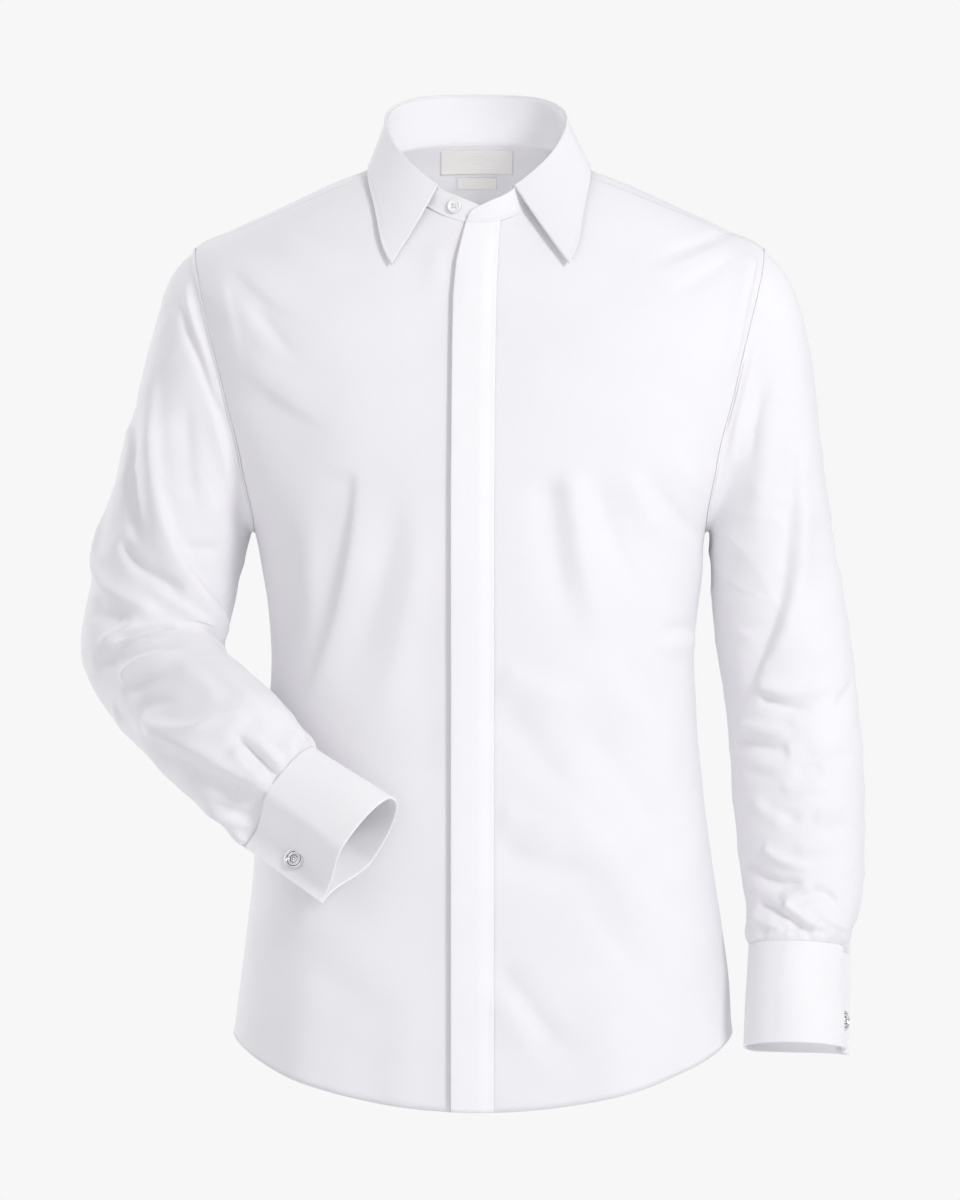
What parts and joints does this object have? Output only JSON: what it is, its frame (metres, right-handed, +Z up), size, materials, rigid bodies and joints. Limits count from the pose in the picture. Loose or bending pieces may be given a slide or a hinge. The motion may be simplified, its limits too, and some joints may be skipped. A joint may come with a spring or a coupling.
{
  "type": "long sleeve dress shirt",
  "caption": "White long sleeve dress shirt with point collar, fly front, double cuffs with metal links and curved hem, filled out as if worn and hollow inside.",
  "frame": {"origin": "where the wearer's neck and shoulders hold the shirt up: on the middle plane, between the two sides of the neck, at about the height of the neck points", "axes": "+Z up, the front of the shirt faces -Y, the wearer's left arm is at +X"},
  "size_m": [0.63, 0.3123, 0.8154],
  "materials": {
    "shirting": "fine white cotton twill, softly creased, low sheen",
    "collar_cloth": "fine white cotton over interlining, smooth, edge stitched",
    "cuff_cloth": "fine white cotton over interlining, folded double, edge stitched",
    "woven_label": "off-white woven satin label, blank",
    "pearl_button": "pearly white, polished",
    "link_metal": "polished silver with turned rings"
  },
  "bodies": {
    "root": {"front_right": "shirting", "front_left": "shirting", "fly_placket": "shirting", "back": "shirting", "yoke": "shirting", "collar_band": "collar_cloth", "collar_leaf": "collar_cloth", "sleeve_left": "shirting", "sleeve_right": "shirting", "cuff_left": "cuff_cloth", "cuff_right": "cuff_cloth", "neck_label": "woven_label", "size_tab": "woven_label", "collar_button": "pearl_button", "fly_button_1": "pearl_button", "fly_button_2": "pearl_button", "fly_button_3": "pearl_button", "fly_button_4": "pearl_button", "fly_button_5": "pearl_button", "fly_button_6": "pearl_button", "fly_button_7": "pearl_button", "cuff_link_left": "link_metal", "cuff_link_right": "link_metal"}
  },
  "joints": []
}
